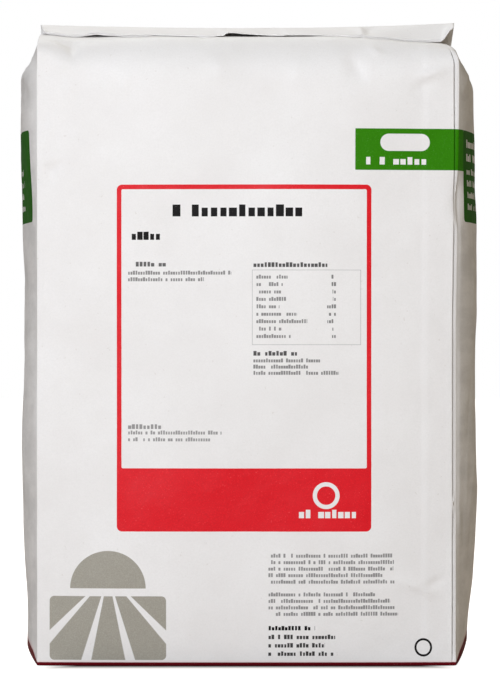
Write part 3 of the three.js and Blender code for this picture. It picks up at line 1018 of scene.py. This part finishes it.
class Print:
    """The masks of the printed parts, and of a painted shadow in the gap beside the lap's ply edge, on top of
    one pair of paper coordinates.
    """

    def __init__(self, graph, u, v):
        self.g, self.u, self.v = graph, u, v
        self.box_group, self.rows_group = rounded_box_group(), type_rows_group()
        self.seed = 0.0

    def box(self, left, right, bottom, top, radius=0.0):
        return self.g.call(self.box_group, self.u, self.v, left, right, bottom, top, radius)

    def disc(self, u, v, radius):
        return self.box(u - radius, u + radius, v - radius, v + radius, radius)

    def without(self, mask, hole):
        return self.g.math("SUBTRACT", mask, hole, clamp=True)

    def ring(self, u, v, outer, inner):
        return self.without(self.disc(u, v, outer), self.disc(u, v, inner))

    def either(self, *masks):
        return self.g.chain("MAXIMUM", list(masks))

    def rows(self, left, *numbers, way=1.0):
        """Rows of blocks. Where way is -1, they run to the left from a common right edge."""
        *shape, tone = numbers
        self.seed += 1.7
        u = self.u if way > 0 else self.g.times(self.u, way)
        return self.g.times(self.g.call(self.rows_group, u, self.v, way * left, *shape, self.seed), tone)

    def red(self):
        left, right, bottom, top = RED_FRAME
        outer = self.box(*RED_FRAME, 3.4)
        inner = self.box(left + RED_LINE, right - RED_LINE, RED_BAND_TOP, top - RED_LINE, 1.0)
        pale = self.either(self.ring(*BAND_RING), self.rows(*PALE_ROWS[0]))
        return self.without(self.without(outer, inner), pale)

    def ribbon(self):
        label = self.box(*RIBBON_LABEL, 5.5)
        return self.without(self.box(*RIBBON, 0.4), self.either(label, self.rows(*PALE_ROWS[1])))

    def side_box(self):
        rows = [self.rows(*row) for row in PALE_ROWS[2:]]
        return self.without(self.box(*SIDE_BOX, 2.6), self.either(*rows))

    def black(self):
        rows = [self.rows(*row) for row in DARK_ROWS]
        numbers = self.rows(*RIGHT_ALIGNED_ROW, way=-1.0)
        return self.either(*rows, numbers, self.ring(*SMALL_RING))

    def thin_lines(self):
        left, right, bottom, top = TABLE_BOX
        inner = self.box(left + 0.35, right - 0.35, bottom + 0.35, top - 0.35)
        return self.without(self.box(*TABLE_BOX), inner)

    def slit_shadow(self):
        """Painted shadow: a dark line in the narrow gap beside the outer ply's free edge, open but for two
        places.
        """
        g = self.g
        edge = g.minus(HALF_WIDTH + 0.12, g.span(self.v, *PLY_EDGE_Z, PLY_EDGE_LOW, PLY_EDGE_HIGH))
        off = g.apart(self.u, edge)
        beside = g.span(off, 0.22, 0.38, 0.9, 0.0)
        above_base, below_top = g.span(self.v, 3.0, 10.0), g.span(self.v, 392.0, 400.0, 1.0, 0.0)
        parts = [beside, above_base, below_top]
        for at, reach in PLY_CLOSED_AT:
            aside = g.apart(self.v, float(at))
            parts.append(g.span(aside, 0.7 * reach, 1.4 * reach))
        return g.chain("MULTIPLY", parts)

    def field(self):
        """A plain half sun over ploughed furrows, which widen towards the viewer."""
        g = self.g
        sun_u, sun_v, sun_radius = SUN
        left, right, bottom, top, vanishing_v = FIELD
        sun = g.times(self.disc(sun_u, sun_v, sun_radius), g.math("GREATER_THAN", self.v, sun_v))
        aside, below = g.minus(self.u, sun_u), g.minus(vanishing_v, self.v)
        angle = g.math("ARCTAN2", aside, below)
        waves = g.math("COSINE", g.times(angle, 360 / FURROW_DEGREES))
        stripes = g.span(waves, -0.82, -0.74)
        return self.either(sun, g.times(self.box(left, right, bottom, top, 3.0), stripes))


def paper_material():
    material = bpy.data.materials.new("printed_paper")
    g = fresh_graph(material)
    shader = g.node("BsdfPrincipled")
    g.feed(g.node("OutputMaterial").inputs["Surface"], shader.outputs[0])
    uv = g.node("UVMap", uv_map="paper").outputs[0]
    across, up, _ = g.split(uv)
    u, v = g.times(across, 1 / MM), g.times(up, 1 / MM)
    place = g.node("TexCoord").outputs["Object"]
    from_base = g.node("Attribute", attribute_name="from_base").outputs["Fac"]

    cloud = g.noise(place, 22.0, 4.0, 0.55)
    fibre = g.noise(place, 900.0, 3.0, 0.6)
    speck = g.noise(place, 420.0, 1.0, 0.5)
    colour = g.mix(g.span(cloud, 0.3, 0.7), PAPER_DIM, PAPER_BRIGHT)
    colour = g.mix(g.span(fibre, 0.35, 0.75, 0.0, 0.35), colour, FIBRE)
    colour = g.mix(g.span(speck, 0.74, 0.80, 0.0, 0.25), colour, SPECK)
    from_back = g.apart(u, HALF_GIRTH)
    from_side = g.apart(from_back, HALF_GIRTH / 2)
    # Blotches on the sides: partly stains, partly painted shade of the crumpled paper.
    side_blotches = g.noise(g.point(g.times(u, 0.022), g.times(v, 0.05)), 1.0, 5.0, 0.62)
    on_side = g.span(from_side, HALF_DEPTH - 6.0, HALF_DEPTH, SIDE_STAIN_AND_SHADE_SHARE, 0.0)
    stain_and_shade = g.times(g.span(side_blotches, 0.42, 0.62), on_side)
    colour = g.mix(stain_and_shade, colour, SIDE_STAIN_AND_SHADE)

    print_masks = Print(g, u, v)
    mottle = g.noise(place, 1300.0, 2.0, 0.6)
    deep = g.span(mottle, 0.35, 0.65)
    cover = g.span(mottle, 0.22, 0.34, 0.88, 1.0)
    red, black, olive = print_masks.red(), print_masks.black(), print_masks.field()
    ribbon, side_box = print_masks.ribbon(), print_masks.side_box()
    taller = g.span(from_side, HALF_DEPTH - 12.0, HALF_DEPTH, BASE_INK_SIDE_SHARE, 1.0)
    above = g.math("DIVIDE", from_base, taller)
    base_blush = g.span(above, 1.5 * MM, 3.6 * MM, 0.22, 0.0)
    shaded_base_ink = g.span(above, (BASE_INK_HEIGHT - 0.2) * MM, (BASE_INK_HEIGHT + 0.2) * MM, 1.0, 0.0)
    for mask, tone in (
        # Painted shadow: the dark line in the gap beside the outer ply's edge, in BLACK.
        (print_masks.slit_shadow(), BLACK),
        (print_masks.thin_lines(), GREY),
        (olive, OLIVE),
        (red, RED),
        (ribbon, GREEN),
        # The side box's green, with painted shade darkening it.
        (side_box, SIDE_GREEN_IN_SHADE),
        (black, BLACK),
        (base_blush, RED),
        # The base's red ink, with painted shade darkening it.
        (shaded_base_ink, BASE_RED_IN_SHADE),
    ):
        thin = tuple(min(1.0, 1.16 * part) for part in tone[:3]) + (1,)
        uneven = g.mix(deep, thin, tone)
        colour = g.mix(g.times(mask, cover), colour, uneven)
    g.feed(shader.inputs["Base Color"], colour)

    inked = g.chain("MAXIMUM", [red, ribbon, side_box, olive, black, shaded_base_ink])
    worn = g.noise(place, 60.0, 5.0, 0.6)
    roughness = g.span(worn, 0.3, 0.7, 0.60, 0.74)
    g.feed(shader.inputs["Roughness"], g.minus(roughness, g.times(inked, 0.14)))
    dull = g.chain("MAXIMUM", [ribbon, side_box, black, shaded_base_ink])
    g.feed(shader.inputs["Specular IOR Level"], g.span(dull, 0.0, 1.0, 0.24, 0.05))

    grain = g.fill(g.node("Bump"), strength=0.22, distance=0.12 * MM, height=fibre)
    dents = g.noise(place, 110.0, 3.0, 0.5)
    crumple = g.fill(g.node("Bump"), strength=0.5, distance=0.6 * MM, height=dents, normal=grain)
    g.feed(shader.inputs["Normal"], crumple)
    return material


# The studio

# In metres.
CAMERA_PLACE = (0.0006, -2.27, 0.2023)
FOCAL_LENGTH = 176.7
FLOOR_HALF = 12.0

# Each light's name, place, what it points at, side, watts and colour.
LIGHTS = (
    ("key", (-0.4, -1.75, 0.78), (0, 0, 0.2), 0.9, 28, (0.87, 0.91, 0.985)),
    ("back", (-0.15, 1.15, 1.65), (0, 0, 0.4), 1.0, 16, (1.0, 1.0, 1.0)),
)
WHITE = (1, 1, 1, 1)
FILL_LEFT, FILL_RIGHT = (0.95, 0.96, 0.98, 1), (1.0, 0.86, 0.62, 1)
FILL_STRENGTH = 0.285

# The floor's colours: a painted contact shadow at the bag and pale away from it; the box from which the
# shadow fades, and how far out.
FLOOR_SHADE, FLOOR_PALE = (0.10, 0.09, 0.09, 1), (0.50, 0.44, 0.38, 1)
SHADE_HALF_X, SHADE_HALF_Y = 0.110, 0.071
SHADE_FADE = 0.026


def add_camera():
    camera = bpy.data.cameras.new("camera")
    camera.lens = FOCAL_LENGTH
    camera.sensor_width = 36
    camera.clip_start, camera.clip_end = 0.05, 50
    view = add_object("camera", camera)
    view.location = CAMERA_PLACE
    view.rotation_euler = (math.pi / 2, 0, 0)
    bpy.context.scene.camera = view


def add_light(name, place, target, side, watts, colour):
    light = bpy.data.lights.new(name, "AREA")
    light.shape = "RECTANGLE"
    light.size = light.size_y = side
    light.energy = watts
    light.color = colour
    lamp = add_object(name, light)
    lamp.location = place
    direction = np.array(target, float) - place
    yaw = math.atan2(direction[1], direction[0]) - math.pi / 2
    pitch = math.atan2(direction[2], math.hypot(direction[0], direction[1])) + math.pi / 2
    lamp.rotation_euler = (pitch, 0, yaw)


def add_floor():
    """A pale floor that glows white to the camera away from the bag, with a painted contact shadow where the
    bag's base meets it.
    """
    mesh = bpy.data.meshes.new("floor")
    corners = [(x * FLOOR_HALF, y * FLOOR_HALF, 0) for x, y in ((-1, -1), (1, -1), (1, 1), (-1, 1))]
    mesh.from_pydata(corners, [], [(0, 1, 2, 3)])
    floor = add_object("floor", mesh)
    material = bpy.data.materials.new("pale_floor")
    material.use_nodes = True
    g = Graph(material.node_tree)
    shader = material.node_tree.nodes["Principled BSDF"]
    shader.inputs["Roughness"].default_value = 0.9
    shader.inputs["Emission Color"].default_value = WHITE
    x, y, _ = g.split(g.node("TexCoord").outputs["Object"])
    beside = g.minus(g.math("ABSOLUTE", x), SHADE_HALF_X)
    before = g.minus(g.math("ABSOLUTE", y), SHADE_HALF_Y)
    away = g.span(g.math("MAXIMUM", beside, before), 0.0, SHADE_FADE)
    seen = g.node("LightPath").outputs["Is Camera Ray"]
    g.feed(shader.inputs["Base Color"], g.mix(away, FLOOR_SHADE, FLOOR_PALE))
    g.feed(shader.inputs["Emission Strength"], g.times(away, seen))
    mesh.materials.append(material)


def add_world():
    """White where the camera sees it, and a dim fill for everything else, warm on the right."""
    world = bpy.data.worlds.new("studio")
    bpy.context.scene.world = world
    g = fresh_graph(world)
    aside = g.split(g.node("TexCoord").outputs["Generated"])[0]
    tint = g.mix(g.span(aside, -0.5, 0.8), FILL_LEFT, FILL_RIGHT)
    dim = g.fill(g.node("Background"), color=tint, strength=FILL_STRENGTH)
    white = g.fill(g.node("Background"), color=WHITE)
    seen = g.node("LightPath").outputs["Is Camera Ray"]
    either = g.join(g.node("MixShader"), seen, dim, white)
    g.feed(g.node("OutputWorld").inputs["Surface"], either)


paper = paper_material()
bag_skin(paper)
for layer, (name, width_change, root_drop) in enumerate(MOUTH_WALLS):
    mouth_sheet(name, layer, width_change, root_drop, paper)
add_floor()
add_world()
for numbers in LIGHTS:
    add_light(*numbers)
bpy.context.scene.view_settings.view_transform = "Standard"
add_camera()
